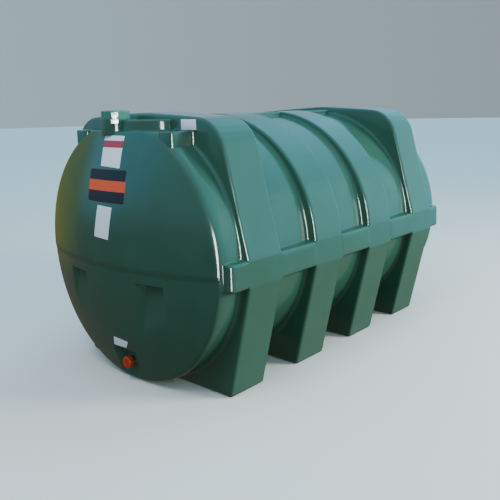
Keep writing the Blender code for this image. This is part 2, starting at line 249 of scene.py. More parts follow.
class Sections:
    """The cross sections that the skin passes through."""

    SKIP = 1.5

    def __init__(self, frame, sizes):
        """Works out each kind of section.

        Args:
            frame: The tank's sizes from the CAD model.
            sizes: The moulding's other sizes.
        """
        self.frame = frame
        self.sizes = sizes
        self.panel = Outline(self._banded(frame.shell_radius, self._strip()), frame.axis_z)
        self.end = Outline(self._banded(frame.end_radius, []), frame.axis_z)
        self.square = Outline(rounded_path(self._square_top() + self._leg()), frame.axis_z)
        self.round = Outline(rounded_path(self._round_top() + self._leg()), frame.axis_z)

    def _strip(self):
        """Returns the corners of the raised strip along the crown."""
        frame = self.frame
        foot = frame.axis_z + math.sqrt(frame.shell_radius ** 2 - frame.strip_half ** 2)
        radius = self.sizes.strip_round
        return [(0.0, frame.strip_top, 0.0), (frame.strip_half, frame.strip_top, radius),
                (frame.strip_half, foot, radius)]

    def _banded(self, radius, top):
        """Returns a round section of one radius with the waist band on it, under a given top."""
        frame, sizes = self.frame, self.sizes
        rise = [height - frame.axis_z for height in (frame.band_high, frame.band_low)]
        turns = [math.degrees(math.asin(value / radius)) for value in rise]
        reach = [math.sqrt(radius ** 2 - value ** 2) for value in rise]
        start = 90.0
        if top:
            start = math.degrees(math.asin((top[-1][1] - frame.axis_z) / radius)) - self.SKIP
        upper = circle_points(frame.axis_z, (radius, radius), start, turns[0] + self.SKIP)
        lower = circle_points(frame.axis_z, (radius, radius), turns[1] - self.SKIP, -90.0)
        band = [(reach[0], frame.band_high, sizes.ledge_foot), (frame.band_half, frame.band_high, sizes.ledge_round),
                (frame.band_half, frame.band_low, sizes.ledge_round), (reach[1], frame.band_low, sizes.ledge_foot)]
        return rounded_path(top + plain(upper) + band + plain(lower))

    def _square_top(self):
        """Returns the corners of a square shouldered rib: its top is a shallow roof with a soft ridge."""
        frame, sizes = self.frame, self.sizes
        fall = (frame.square_crown - sizes.shoulder_z) / sizes.shoulder_y
        across = np.linspace(0.0, 0.30, 7)
        soft = np.sqrt(across ** 2 + sizes.crown_soften ** 2) - sizes.crown_soften
        top = np.column_stack((across, frame.square_crown - fall * soft))
        return plain(top) + [(sizes.shoulder_y, sizes.shoulder_z, sizes.shoulder_round),
                             (frame.band_half, frame.band_high, sizes.blend_round)]

    def _round_top(self):
        """Returns the corners of a round rib, part of an ellipse."""
        frame = self.frame
        rise = frame.round_crown - frame.axis_z
        foot = math.degrees(math.asin((frame.band_high - frame.axis_z) / rise))
        return plain(circle_points(frame.axis_z, (frame.band_half, rise), 90.0, foot))

    def _leg(self):
        """Returns the corners of a foot: its outer face, its sole and its inner wall, then the belly."""
        frame, sizes = self.frame, self.sizes
        radius = frame.shell_radius
        rise = math.sqrt(radius ** 2 - sizes.foot_inner_top ** 2)
        turn = -math.degrees(math.acos(sizes.foot_inner_top / radius))
        belly = circle_points(frame.axis_z, (radius, radius), turn - self.SKIP, -90.0)
        return [(frame.band_half, frame.band_low, sizes.blend_round), (sizes.foot_outer, 0.0, sizes.floor_round),
                (frame.foot_inner, 0.0, sizes.floor_round),
                (sizes.foot_inner_top, frame.axis_z - rise, sizes.strip_round)] + plain(belly)

    def angles(self, outlines, spacing=2.0, extra=()):
        """Returns the angles at which some sections are sampled.

        They are the angles of every corner and arc of those sections, an even spacing in between, and
        a pair close to each arc's end, so that flat faces stay flat under smooth shading.

        Args:
            outlines: The sections.
            spacing: The even spacing in degrees.
            extra: Further angles in radians.

        Returns:
            Angles from the crown down to the belly, in radians.
        """
        even = np.radians(np.linspace(-90.0, 90.0, int(180.0 / spacing) + 1))
        found = [even, np.asarray(extra, float)] + [outline.feature_angles for outline in outlines]
        return np.flip(thin(np.concatenate(found), 2.0e-5))


def thin(values, least):
    """Sorts numbers and leaves out those closer than least to the one before."""
    ordered = np.sort(values)
    keep = np.concatenate(([True], np.diff(ordered) > least))
    return ordered[keep]


def step_rows(rise, foot, head, steps=6):
    """Works out the profile of a wall between two sections, with a rounded foot and a rounded edge.

    The foot is a quarter circle that leaves the lower surface, the wall is straight, and the edge is a
    quarter circle that ends in the upper surface. Both radii shrink where the wall is lower than the
    two together.

    Args:
        rise: Height of the wall at each angle; it may be negative.
        foot: Radius of the foot.
        head: Radius of the edge.
        steps: Rows in each quarter circle.

    Returns:
        How far each row lies along X, and its share of the rise, as arrays of (rows, angles).
    """
    size = np.abs(rise)
    fit = np.minimum(1.0, 0.95 * size / (foot + head))
    low, high = foot * fit, head * fit
    turn = np.linspace(0.0, 0.5 * math.pi, steps)[:, None]
    along = np.vstack((low * (np.sin(turn) - 1.0), high * (1.0 - np.cos(turn))))
    height = np.vstack((low * (1.0 - np.cos(turn)), size - high * (1.0 - np.sin(turn))))
    share = np.divide(height, size, out=np.zeros_like(height), where=size > 0.0)
    return along, share


def rise_between(lower, upper):
    """Returns the difference of two radii, with no rise where they agree within a tenth of a millimetre."""
    rise = upper - lower
    return np.where(np.abs(rise) < 1.0e-4, 0.0, rise)


class MeshBuilder:
    """Gathers grids of points and makes one welded mesh of them."""

    WELD = 1.0e-6
    LEAST_AREA = 2.0e-9

    def __init__(self):
        """Starts with no grids."""
        self.points = []
        self.quads = []
        self.count = 0

    def add(self, grid, closed=False, flip=False):
        """Adds a grid of points.

        Args:
            grid: Array of (rows, columns, 3).
            closed: Whether the last column joins the first.
            flip: Whether the faces turn the other way.
        """
        rows, columns = grid.shape[:2]
        index = np.arange(rows * columns).reshape(rows, columns) + self.count
        if closed:
            index = np.concatenate((index, index[:, :1]), axis=1)
        quads = np.stack((index[:-1, :-1], index[1:, :-1], index[1:, 1:], index[:-1, 1:]), axis=-1).reshape(-1, 4)
        self.quads.append(quads[:, ::-1] if flip else quads)
        self.points.append(grid.reshape(-1, 3))
        self.count += rows * columns

    def finish(self, name, outwards_from=None):
        """Welds the points and makes the object.

        Points that round to the same place are joined, quads that lose one corner become triangles,
        and those with no area are dropped.

        Args:
            name: The object's name.
            outwards_from: A point that the faces look away from on the whole, or None to leave them.

        Returns:
            The new object, smooth shaded, at the origin.
        """
        points = np.vstack(self.points)
        quads = np.vstack(self.quads)
        _, first, inverse = np.unique(np.round(points / self.WELD).astype(np.int64), axis=0, return_index=True,
                                      return_inverse=True)
        points = points[first]
        quads = inverse.reshape(-1)[quads]
        same = quads == np.roll(quads, -1, axis=1)
        crossed = (quads[:, 0] == quads[:, 2]) | (quads[:, 1] == quads[:, 3])
        diagonal_a = points[quads[:, 2]] - points[quads[:, 0]]
        diagonal_b = points[quads[:, 3]] - points[quads[:, 1]]
        vector = 0.5 * np.cross(diagonal_a, diagonal_b)
        solid = (np.linalg.norm(vector, axis=1) > self.LEAST_AREA) & ~crossed
        full = quads[solid & (same.sum(axis=1) == 0)]
        three = solid & (same.sum(axis=1) == 1)
        triangles = quads[three][~same[three]].reshape(-1, 3)
        if outwards_from is not None:
            centre = points[quads[solid]].mean(axis=1)
            if np.sum(vector[solid] * (centre - np.asarray(outwards_from))) < 0.0:
                full, triangles = full[:, ::-1], triangles[:, ::-1]
        used, compact = np.unique(np.concatenate((full.reshape(-1), triangles.reshape(-1))), return_inverse=True)
        mesh = bpy.data.meshes.new(name)
        mesh.vertices.add(len(used))
        mesh.vertices.foreach_set("co", points[used].astype(np.float32).reshape(-1))
        mesh.loops.add(len(compact))
        mesh.loops.foreach_set("vertex_index", compact.astype(np.int32))
        starts = np.concatenate((np.arange(len(full)) * 4, len(full) * 4 + np.arange(len(triangles)) * 3))
        mesh.polygons.add(len(starts))
        mesh.polygons.foreach_set("loop_start", starts.astype(np.int32))
        mesh.update(calc_edges=True)
        mesh.validate()
        mesh.shade_smooth()
        item = bpy.data.objects.new(name, mesh)
        bpy.context.scene.collection.objects.link(item)
        log.info("%s: %d faces", name, len(mesh.polygons))
        return item


def ring(outline_angles):
    """Returns the unit directions of a whole section from those of its half.

    Args:
        outline_angles: Angles from the crown to the belly.

    Returns:
        Cosines and sines, crown to belly on the far side and back up on the near side, and the index of
        the half outline's sample that each uses.
    """
    count = len(outline_angles)
    index = np.concatenate((np.arange(count), np.arange(count - 2, 0, -1)))
    cosine, sine = np.cos(outline_angles), np.sin(outline_angles)
    cosine[0] = cosine[-1] = 0.0
    sign = np.concatenate((np.ones(count), -np.ones(count - 2)))
    return cosine[index] * sign, sine[index], index


class Skin:
    """Builds the moulding's skin from its sections."""

    HOLD = 0.003

    def __init__(self, frame, sizes):
        """Prepares the sections.

        Args:
            frame: The tank's sizes from the CAD model.
            sizes: The moulding's other sizes.
        """
        self.frame = frame
        self.sizes = sizes
        self.sections = Sections(frame, sizes)
        rise = frame.crown_x - sizes.knuckle_x
        self.dish_radius = (frame.end_radius ** 2 + rise ** 2) / (2.0 * rise)
        self.dish_centre = frame.crown_x - self.dish_radius
        self.knuckle_r = frame.end_radius - sizes.knuckle_round
        reach = math.sqrt((self.dish_radius - sizes.knuckle_round) ** 2 - self.knuckle_r ** 2)
        self.knuckle_start = self.dish_centre + reach
        self.knuckle_turn = math.atan2(reach, self.knuckle_r)

    def _rib_outline(self, index):
        """Returns the outline of a rib by its number from 0."""
        return self.sections.square if index in (0, len(self.frame.rib_x) - 1) else self.sections.round

    def bay(self, index):
        """Builds the skin from the middle of one rib to the middle of the next.

        Args:
            index: Number of the first rib, from 0.

        Returns:
            The new object.
        """
        sections, sizes, frame = self.sections, self.sizes, self.frame
        first, second = self._rib_outline(index), self._rib_outline(index + 1)
        half = sections.angles([sections.panel, sections.square, sections.round])
        cosine, sine, pick = ring(half)
        base = sections.panel.radius(half)
        rows_x, rows_r = [], []
        for outline, edge, side in ((first, frame.rib_x[index][1], 1.0), (second, frame.rib_x[index + 1][0], -1.0)):
            rib = outline.radius(half)
            rise = rise_between(base, rib)
            along, share = step_rows(rise, sizes.foot_round, sizes.edge_round)
            middle = 0.5 * sum(frame.rib_x[index if side > 0 else index + 1])
            inside = edge - side * (sizes.edge_round + self.HOLD)
            outside = edge + side * (sizes.foot_round + self.HOLD)
            x = np.vstack((np.full_like(base, outside), edge - side * along, np.full_like(base, inside),
                           np.full_like(base, middle)))
            r = np.vstack((base, base + rise * share, base + rise, base + rise))
            if side > 0:
                x, r = x[::-1], r[::-1]
            rows_x.append(x)
            rows_r.append(r)
        x, r = np.vstack(rows_x), np.vstack(rows_r)
        return self._revolve(f"tank_bay_{index + 1}", x[:, pick], r[:, pick], cosine, sine)

    def _revolve(self, name, x, r, cosine, sine):
        """Makes a closed band of skin from the X and the radius of each point."""
        grid = np.stack((x, *self._held(r * cosine, self.frame.axis_z + r * sine)), axis=-1)
        builder = MeshBuilder()
        builder.add(grid, closed=True)
        return builder.finish(name, outwards_from=(float(x.mean()), 0.0, self.frame.axis_z))

    def _held(self, y, z):
        """Returns y and z with the last few micrometres of the chords held to the band's face and the floor."""
        return np.clip(y, -self.frame.band_half, self.frame.band_half), np.maximum(z, 0.0)

    def dish_x(self, y, z):
        """Returns the dish's X, counted outwards: a sphere about a point on the tank's axis."""
        square = y ** 2 + (z - self.frame.axis_z) ** 2
        return self.dish_centre + np.sqrt(self.dish_radius ** 2 - square)

    def lip(self, z):
        """Returns how far the lower mould half is set in: nothing above the mould's joint, the step below it."""
        sizes = self.sizes
        half = 0.5 * sizes.lip_height
        return sizes.lip_step * (1.0 - smooth_step(sizes.part_line - half, sizes.part_line + half, z))


@dataclass(frozen=True)
class Recess:
    """A hollow sunk into an end, with a back wall that may slant across it and with height, a ceiling and two sides."""

    inner: float
    outer: float
    top: float
    inner_x: float
    outer_x: float
    slant: float = 0.0
    foot: float = 0.0

    EDGE = 0.006
    SOFT = 0.0012
    DRAFT = 0.98

    def cut(self, x, y, z):
        """Sets the surface back to the recess's back wall inside it.

        The depth is the soft positive part of the distance in front of the back wall, and at most the
        draft times the distance from the nearer side. It fades to nothing over an edge at the ceiling.

        Args:
            x: Distance of the surface from the middle of the tank.
            y: Distance from the middle plane, without its sign.
            z: Height.

        Returns:
            The new x.
        """
        share = (y - self.inner) / (self.outer - self.inner)
        back = self.inner_x + (self.outer_x - self.inner_x) * share - self.slant * np.maximum(z - self.foot, 0.0)
        half = 0.5 * self.EDGE
        gate = 1.0 - smooth_step(self.top - half, self.top + half, z)
        sides = self.DRAFT * np.maximum(np.minimum(y - self.inner, self.outer - y), 0.0)
        return x - gate * np.minimum(soft_positive(x - back, self.SOFT), sides)


HAND_POCKET = Recess(inner=0.180, outer=0.333, top=0.512, inner_x=0.982, outer_x=0.971, slant=0.03, foot=0.30)
OUTLET_ALCOVE = Recess(inner=-0.080, outer=0.080, top=0.167, inner_x=0.909, outer_x=0.909)
RECESSES = {End.FRONT: (HAND_POCKET, OUTLET_ALCOVE), End.REAR: (HAND_POCKET,)}


class EndSkin(Skin):
    """Builds the skin of an end, from the middle of its rib out to the dish."""

    CLUSTER = np.array((-0.006, -0.003, -0.0012, 0.0, 0.0012, 0.003, 0.006))
    ROW_SPACING = 0.010
    SHELF_TOP = 1.157

    def surface_x(self, y, z, end):
        """Returns the finished X of the dish, counted outwards, with its lip and its recesses."""
        x = self.dish_x(y, z) - self.lip(z)
        for recess in RECESSES[end]:
            x = recess.cut(x, np.abs(y), z)
        return x

    def _pressed(self, radius, half, end):
        """Presses the crown flat under the filling point: the radius is held to the flat's height over the sine."""
        if end is End.REAR:
            return radius
        limit = (self.SHELF_TOP - self.frame.axis_z) / np.maximum(np.sin(half), 0.05)
        return np.where(np.sin(half) > 0.5, limit - soft_positive(limit - radius, 0.0020), radius)

    def crown_z(self, x, y):
        """Returns the height of the outlet end's top at each (x, y), as far as its straight wall and knuckle go."""
        frame = self.frame
        radius = self._round_radius(-x)
        round_top = frame.axis_z + np.sqrt(np.maximum(radius ** 2 - y ** 2, 0.0))
        return np.minimum(round_top, self.SHELF_TOP)

    def _half_angles(self, end):
        """Returns the angles of this end's samples, the same above the axis as below it."""
        patch = self.sizes.dish_patch
        sides = [edge for recess in RECESSES[end] for edge in (recess.inner, recess.outer) if edge > 0.0]
        inwards = [np.arange(0.0025, 0.055, 0.0025) * (1.0 if edge == recess.inner else -1.0) + edge
                   for recess in RECESSES[end] for edge in (recess.inner, recess.outer) if edge > 0.0]
        across = np.concatenate([edge + self.CLUSTER for edge in sides] + inwards)
        extra = [np.arccos(across / patch)]
        shelf = math.asin((self.SHELF_TOP - self.frame.axis_z) / self.frame.end_radius)
        extra.append(shelf + np.radians(np.linspace(-1.5, 1.5, 7)))
        side = OUTLET_ALCOVE.outer
        extra.append(np.linspace(math.acos((side + 0.005) / patch), math.acos((side - 0.005) / self.frame.end_radius), 26))
        joint = self.sizes.part_line - self.frame.axis_z + np.linspace(-0.020, 0.020, 11)
        extra.append(np.arcsin(joint / patch))
        sections = self.sections
        found = sections.angles([sections.square, sections.end], extra=np.concatenate(extra))
        quarter = thin(np.concatenate((np.abs(found), [0.0])), 2.0e-4)
        quarter = quarter[quarter < math.radians(89.99)]
        quarter = np.append(quarter, 0.5 * math.pi)
        return np.concatenate((quarter[::-1], -quarter[1:]))

    def build(self, end):
        """Builds one end.

        Args:
            end: Which end.

        Returns:
            The new object.
        """
        frame, sizes, sections = self.frame, self.sizes, self.sections
        half = self._half_angles(end)
        cosine, sine, pick = ring(half)
        cylinder = np.full_like(half, frame.end_radius)
        banded = sections.end.radius(half)
        rib = sections.square.radius(half)
        rib_low, rib_high = frame.rib_x[-1]
        pressed = self._pressed(cylinder, half, end)
        lower = np.where(banded > cylinder + 1.0e-4, banded, pressed)
        rise = rise_between(lower, rib)
        along, share = step_rows(rise, sizes.foot_round, sizes.edge_round)
        x = [np.full_like(half, 0.5 * (rib_low + rib_high)), np.full_like(half, rib_high - sizes.edge_round - self.HOLD)]
        r = [rib, rib]
        x.extend((rib_high - along)[::-1])
        r.extend((lower + rise * share)[::-1])
        start = rib_high + sizes.foot_round + self.HOLD
        stop = frame.band_reach - sizes.band_end_round - self.HOLD
        for place in (start, stop):
            x.append(np.full_like(half, place))
            r.append(lower)
        proud = rise_between(pressed, lower)
        along, share = step_rows(proud, sizes.strip_round, sizes.band_end_round, steps=8)
        for offset, part in zip(-along[::-1], share[::-1]):
            place = frame.band_reach + offset
            x.append(place)
            r.append(self._pressed(self._round_radius(place), half, end) + proud * part)
        band_foot = frame.band_reach + sizes.strip_round + self.HOLD
        first_turn = math.asin((band_foot - self.knuckle_start) / sizes.knuckle_round)
        for turn in np.linspace(first_turn, self.knuckle_turn, 9):
            radius = self.knuckle_r + sizes.knuckle_round * math.cos(turn)
            place = self.knuckle_start + sizes.knuckle_round * math.sin(turn)
            weight = float(smooth_step(first_turn, self.knuckle_turn, turn))
            self._dish_row(x, r, place, radius, weight, half, end)
        for radius in np.linspace(self._dish_edge(), sizes.dish_patch, 5)[1:]:
            place = float(self.dish_x(0.0, frame.axis_z + radius))
            self._dish_row(x, r, place, radius, 1.0, half, end)
        x, r = np.array(x)[:, pick], np.array(r)[:, pick]
        y, z = self._held(r * cosine, frame.axis_z + r * sine)
        builder = MeshBuilder()
        builder.add(np.stack((end.value * x, y, z), axis=-1), closed=True)
        builder.add(self._patch(half, end), flip=False)
        name = "tank_front_end" if end is End.FRONT else "tank_rear_end"
        return self._faced(builder, name, end)

    def _dish_edge(self):
        """Returns the radius at which the knuckle runs into the dish."""
        return self.knuckle_r + self.sizes.knuckle_round * math.cos(self.knuckle_turn)

    def _round_radius(self, place):
        """Returns the radius of the straight wall or the knuckle at each X."""
        past = np.maximum(place - self.knuckle_start, 0.0)
        return self.knuckle_r + np.sqrt(self.sizes.knuckle_round ** 2 - past ** 2)

    def _dish_row(self, x, r, place, radius, weight, half, end):
        """Adds one ring of the knuckle or the dish, with the share of the lip that it has."""
        level = np.full_like(half, radius)
        radius = self._pressed(level, half, end)
        y, z = radius * np.cos(half), self.frame.axis_z + radius * np.sin(half)
        y[0] = y[-1] = 0.0
        row = place - weight * self.lip(z)
        for recess in RECESSES[end]:
            row = recess.cut(row, np.abs(y), z)
        x.append(row)
        r.append(radius)

    def _levels(self, end):
        """Returns the heights of the patch's rows: even ones, and close ones at the lip and each ceiling."""
        frame, sizes = self.frame, self.sizes
        patch = sizes.dish_patch
        even = np.arange(frame.axis_z - patch, frame.axis_z + patch, self.ROW_SPACING)
        lip = sizes.part_line + np.linspace(-0.020, 0.020, 11)
        ceilings = np.concatenate([recess.top + self.CLUSTER for recess in RECESSES[end]])
        return np.flip(thin(np.concatenate((even, lip, ceilings, [frame.axis_z + patch])), 6.0e-4))

    def _patch(self, half, end):
        """Builds the middle of the dish as upright columns between the two halves of its rim.

        A column stands under each sample of the rim. Its rows are at the same heights in every column,
        held between the column's two ends, so the ceilings of the recesses run along a row.
        """
        frame, patch = self.frame, self.sizes.dish_patch
        quarter = half[: (len(half) + 1) // 2]
        cosine, sine = np.cos(quarter), np.sin(quarter)
        cosine[0] = 0.0
        y = patch * np.concatenate((cosine[::-1], -cosine[1:]))
        reach = patch * np.concatenate((sine[::-1], sine[1:]))
        levels = self._levels(end)[:, None]
        z = np.clip(levels, frame.axis_z - reach, frame.axis_z + reach)
        y = np.broadcast_to(y, z.shape)
        x = end.value * self.surface_x(y, z, end)
        return np.stack((x, y, z), axis=-1)

    def _faced(self, builder, name, end):
        """Turns the ring and the patch to face outwards and makes the object."""
        for index, grid in enumerate(builder.points):
            points, quads = np.vstack(builder.points), builder.quads[index]
            a, b, c, d = (points[quads[:, corner]] for corner in range(4))
            vector = np.cross(c - a, d - b)
            centre = (a + b + c + d) / 4.0 - np.array((end.value * 0.5, 0.0, self.frame.axis_z))
            if np.sum(vector * centre) < 0.0:
                builder.quads[index] = quads[:, ::-1]
        return builder.finish(name)


@dataclass(frozen=True)
class Placing:
    """Where a small piece made about the Z axis at the origin goes: turned about an axis, then moved."""

    turn: float = 0.0
    axis: str = "Z"
    move: tuple = (0.0, 0.0, 0.0)

    def apply(self, points):
        """Returns the points of a grid, turned and moved."""
        matrix = np.array(Matrix.Rotation(math.radians(self.turn), 3, self.axis))
        return points @ matrix.T + np.asarray(self.move)


@dataclass(frozen=True)
class Flutes:
    """Grip flutes round a cap: how many, how deep, and between which heights."""

    count: int
    depth: float
    low: float
    high: float


def turned_grid(profile, columns=96, flutes=None):
    """Turns a profile about the Z axis.

    Each point is (r cos t, r sin t, z). With flutes the radius is less by depth · (0.5 + 0.5 cos(count · t))²,
    between the two heights and fading over a millimetre at both.

    Args:
        profile: Rows of (radius, height).
        columns: Samples round the axis.
        flutes: Grip flutes, or None.

    Returns:
        A grid for MeshBuilder.add with closed=True.
    """
    turn = np.linspace(0.0, 2.0 * math.pi, columns, endpoint=False)
    radius = np.broadcast_to(profile[:, :1], (len(profile), columns)).copy()
    height = np.broadcast_to(profile[:, 1:], radius.shape)
    if flutes:
        wave = (0.5 + 0.5 * np.cos(flutes.count * turn)) ** 2
        gate = smooth_step(flutes.low, flutes.low + 0.001, height) * (
            1.0 - smooth_step(flutes.high - 0.001, flutes.high, height))
        radius -= flutes.depth * wave * gate
    return np.stack((radius * np.cos(turn), radius * np.sin(turn), height), axis=-1)


def rounded_block(builder, low, high, radius, placing, steps=5):
    """Adds a block with rounded edges and corners.

    Every direction of a sphere gives one point: the corner of the block shrunk by the radius that lies
    towards it, plus the radius along the direction. Two flat grids close the top and the bottom.

    Args:
        builder: The mesh builder.
        low: Lowest corner.
        high: Highest corner.
        radius: Radius of the edges.
        placing: Where the block goes.
        steps: Samples in each quarter circle.
    """
    low, high = np.asarray(low, float), np.asarray(high, float)
    middle, half = 0.5 * (low + high), 0.5 * (high - low) - radius
    quarter = np.linspace(0.0, 0.5 * math.pi, steps)
    tilt = np.concatenate((quarter - 0.5 * math.pi, quarter))[:, None]
    lift = np.concatenate((-np.ones(steps), np.ones(steps)))[:, None]
    turn = np.concatenate([quarter + 0.5 * math.pi * index for index in range(4)])
    side_x = np.repeat((1.0, -1.0, -1.0, 1.0), steps)
    side_y = np.repeat((1.0, 1.0, -1.0, -1.0), steps)
    direction = np.stack(np.broadcast_arrays(np.cos(tilt) * np.cos(turn), np.cos(tilt) * np.sin(turn),
                                             np.sin(tilt)), axis=-1)
    corner = np.stack(np.broadcast_arrays(side_x * half[0], side_y * half[1], lift * half[2]), axis=-1)
    builder.add(placing.apply(middle + corner + radius * direction), closed=True)
    for level, flip in ((high[2], False), (low[2], True)):
        square = [[(middle[0] + a * half[0], middle[1] + b * half[1], level) for b in (1.0, -1.0)]
                  for a in (-1.0, 1.0)]
        builder.add(placing.apply(np.array(square)), flip=flip)


class SmallParts:
    """Builds the pieces that sit on the moulding."""

    def __init__(self, skin):
        """Reads where the pieces are.

        Args:
            skin: The end skin that they sit on.
        """
        self.skin = skin
        low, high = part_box("fill_cap")
        self.filler = (0.5 * (low.x + high.x), 0.5 * (low.y + high.y), 0.0)
        self.cap_radius = 0.5 * (high.x - low.x)
        self.on_cap = Placing(turn=50.0, move=self.filler)

    def plinth(self):
        """Builds the raised half oval: a wall with a flared foot, a rounded edge and a flat top."""
        low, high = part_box("filler_plinth")
        back, reach, half = high.x, high.x - low.x, high.y
        edge, foot = 0.009, 0.006
        turn = np.radians(np.linspace(90.0, 270.0, 73))
        sweep = np.linspace(0.0, 0.5 * math.pi, 6)
        inset = np.concatenate((-foot * (1.0 - np.sin(sweep)), edge * (1.0 - np.cos(sweep))))
        rows = []
        for step, value in enumerate(inset):
            x = back + (reach - value) * np.cos(turn)
            y = (half - value) * np.sin(turn)
            if step < len(sweep):
                z = self.skin.crown_z(x, y) + foot * (1.0 - math.cos(sweep[step])) - 0.0005
            else:
                z = np.full_like(x, high.z - edge * (1.0 - math.sin(sweep[step - len(sweep)])))
            rows.append(np.stack((x, y, z), axis=-1))
        for share in (0.985, 0.6, 0.3, 0.0):
            x = back + share * (reach - edge) * np.cos(turn)
            y = share * (half - edge) * np.sin(turn)
            rows.append(np.stack((x, y, np.full_like(x, high.z)), axis=-1))
        builder = MeshBuilder()
        builder.add(np.array(rows))
        return builder.finish("filler_seat", outwards_from=(back, 0.0, high.z - 0.05))

    def lug(self, node, name):
        """Builds a square boss with rounded upright edges that flares into the rib's wall.

        The rows follow the boss's plan, first upright, then set in by the rounding of the top edge, and
        close at the middle of the flat top. Setting in lessens the radius of an outer corner and adds
        to that of an inner one.
        """
        low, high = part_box(node)
        wall, outer, inner, flare, edge = high.x + 0.0004, 0.020, 0.016, 0.022, 0.008
        sweep = np.linspace(0.0, 0.5 * math.pi, 6)
        steps = [(0.0, low.z), *zip(edge * (1.0 - np.cos(sweep)), high.z - edge * (1.0 - np.sin(sweep)))]
        rows = []
        for inset, z in steps:
            left, right, front = low.y + inset, high.y - inset, low.x + inset
            plan = rounded_path([(wall, low.y - flare, 0.0), (wall, left, inner + inset), (front, left, outer - inset),
                                 (front, right, outer - inset), (wall, right, inner + inset),
                                 (wall, high.y + flare, 0.0)])
            rows.append(np.column_stack((plan, np.full(len(plan), z))))
        rows.append(np.broadcast_to((0.5 * (low.x + high.x), 0.5 * (low.y + high.y), high.z), rows[0].shape))
        builder = MeshBuilder()
        builder.add(np.array(rows))
        return builder.finish(name, outwards_from=(wall, 0.5 * (low.y + high.y), low.z))

    def neck(self):
        """Builds the neck that the fill cap screws onto."""
        low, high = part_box("filler_neck")
        radius = 0.5 * (high.x - low.x)
        profile = rounded_path([(radius, low.z, 0.0), (radius, high.z, 0.001), (0.0, high.z, 0.0)])
        builder = MeshBuilder()
        builder.add(Placing(move=self.filler).apply(turned_grid(profile)), closed=True)
        return builder.finish("filling_neck", outwards_from=(*self.filler[:2], high.z - 0.03))

    def cap(self):
        """Builds the fill cap: a fluted side, a rounded shoulder and a shallow dished top."""
        low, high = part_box("fill_cap")
        radius = self.cap_radius
        profile = rounded_path([(0.0, low.z, 0.0), (radius, low.z, 0.0010), (radius, high.z, 0.0060),
                                (radius - 0.012, high.z, 0.0015), (radius - 0.014, high.z - 0.003, 0.0015),
                                (0.0, high.z - 0.003, 0.0)])
        flutes = Flutes(count=36, depth=0.0013, low=low.z + 0.002, high=high.z - 0.005)
        builder = MeshBuilder()
        builder.add(Placing(move=self.filler).apply(turned_grid(profile, columns=288, flutes=flutes)), closed=True)
        return builder.finish("filling_cap", outwards_from=(*self.filler[:2], 0.5 * (low.z + high.z)))

    def hasp(self):
        """Builds the latch plate on the cap's side and the eye that the padlock goes through."""
        face = -self.cap_radius - 0.0003
        builder = MeshBuilder()
        rounded_block(builder, (face - 0.0035, -0.015, 1.208), (face, 0.015, 1.238), 0.0012, self.on_cap)
        rounded_block(builder, (face - 0.0160, -0.003, 1.2210), (face - 0.0020, 0.003, 1.2285), 0.0008, self.on_cap)
        return builder.finish("cap_latch")

    def shackle(self):
        """Builds the padlock's shackle, a round wire along an arch.

        The path is two uprights joined by a half circle. At each point the wire's circle is spanned by
        the path's normal and the direction across the arch.
        """
        face = -self.cap_radius - 0.0003
        wire, arch, foot = 0.003, 0.011, 1.2098
        top = 1.2285 + 0.0012 + wire - arch
        turn = np.linspace(0.0, math.pi, 17)
        path = np.vstack(([(arch, foot)], np.column_stack((arch * np.cos(turn), top + arch * np.sin(turn))),
                          [(-arch, foot)]))
        across = np.vstack(([(1.0, 0.0)], np.column_stack((np.cos(turn), np.sin(turn))), [(-1.0, 0.0)]))
        ring_turn = np.linspace(0.0, 2.0 * math.pi, 16, endpoint=False)
        y = path[:, :1] + wire * across[:, :1] * np.cos(ring_turn)
        z = path[:, 1:] + wire * across[:, 1:] * np.cos(ring_turn)
        x = np.broadcast_to(face - 0.0105 + wire * np.sin(ring_turn), y.shape)
        grid = np.stack((x, y, z), axis=-1)
        ends = [np.broadcast_to(row.mean(axis=0), row.shape)[None] for row in (grid[0], grid[-1])]
        builder = MeshBuilder()
        builder.add(self.on_cap.apply(np.concatenate((ends[0], grid, ends[1]))), closed=True)
        middle = self.on_cap.apply(np.array((face - 0.0105, 0.0, foot)))
        return builder.finish("lock_shackle", outwards_from=middle)

    def lock_body(self):
        """Builds the padlock's body."""
        face = -self.cap_radius - 0.0003
        builder = MeshBuilder()
        rounded_block(builder, (face - 0.0185, -0.017, 1.1875), (face - 0.0035, 0.017, 1.2095), 0.003, self.on_cap)
        return builder.finish("lock_body")

    def outlet(self):
        """Builds the outlet's boss and its screwed cap.

        Returns:
            The two new objects.
        """
        boss_low, boss_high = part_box("outlet_boss")
        cap_low, cap_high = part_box("outlet_cap")
        height = 0.5 * (cap_low.z + cap_high.z)
        place = Placing(turn=-90.0, axis="Y", move=(boss_high.x, 0.0, height))
        length = boss_high.x - boss_low.x
        boss = MeshBuilder()
        profile = rounded_path([(0.030, 0.0, 0.0), (0.022, 0.0, 0.004), (0.022, length, 0.001), (0.0, length, 0.0)])
        boss.add(place.apply(turned_grid(profile, columns=64)), closed=True)
        cap = MeshBuilder()
        low = boss_high.x - cap_high.x
        top = boss_high.x - cap_low.x - 0.007
        radius = 0.0275
        profile = rounded_path([(0.0, low, 0.0), (radius, low, 0.0008), (radius, top, 0.0025), (0.0, top, 0.0)])
        flutes = Flutes(count=24, depth=0.0012, low=low + 0.002, high=top - 0.003)
        cap.add(place.apply(turned_grid(profile, columns=192, flutes=flutes)), closed=True)
        rounded_block(cap, (-0.021, -0.005, top - 0.001), (0.021, 0.005, top + 0.007), 0.002, place)
        return (boss.finish("outlet_stub", outwards_from=place.apply(np.array((0.0, 0.0, 0.5 * length)))),
                cap.finish("outlet_stopper"))

